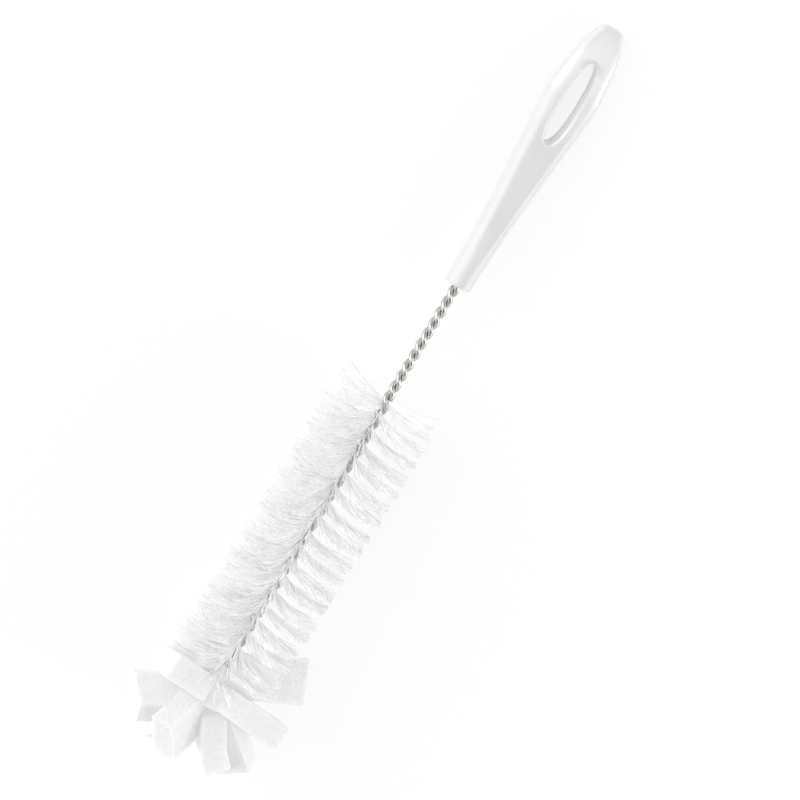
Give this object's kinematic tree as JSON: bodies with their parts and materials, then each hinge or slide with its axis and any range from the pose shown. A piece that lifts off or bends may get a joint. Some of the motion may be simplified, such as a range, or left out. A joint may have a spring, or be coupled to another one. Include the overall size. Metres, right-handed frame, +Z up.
{
  "type": "bottle brush",
  "caption": "Bottle brush with a moulded handle, a twisted wire stem, a spiral of nylon bristles and a sponge head of crossed strips.",
  "frame": {"origin": "centre of the brush's box at the surface it lies on", "axes": "+X along the brush towards the handle, +Z up out of the handle's upper face; the stem falls towards the handle because the brush rests on its bristles"},
  "size_m": [0.3204, 0.065, 0.0561],
  "materials": {
    "handle_plastic": "smooth glossy white moulded plastic",
    "wire": "bright drawn galvanised wire",
    "nylon": "translucent white nylon filament",
    "sponge": "soft open-cell white sponge"
  },
  "bodies": {
    "root": {"handle": "handle_plastic", "stem_wire": "wire", "bristles": "nylon", "foam_strip_1": "sponge", "foam_strip_2": "sponge", "foam_strip_3": "sponge", "foam_strip_4": "sponge", "foam_strip_5": "sponge"}
  },
  "joints": []
}
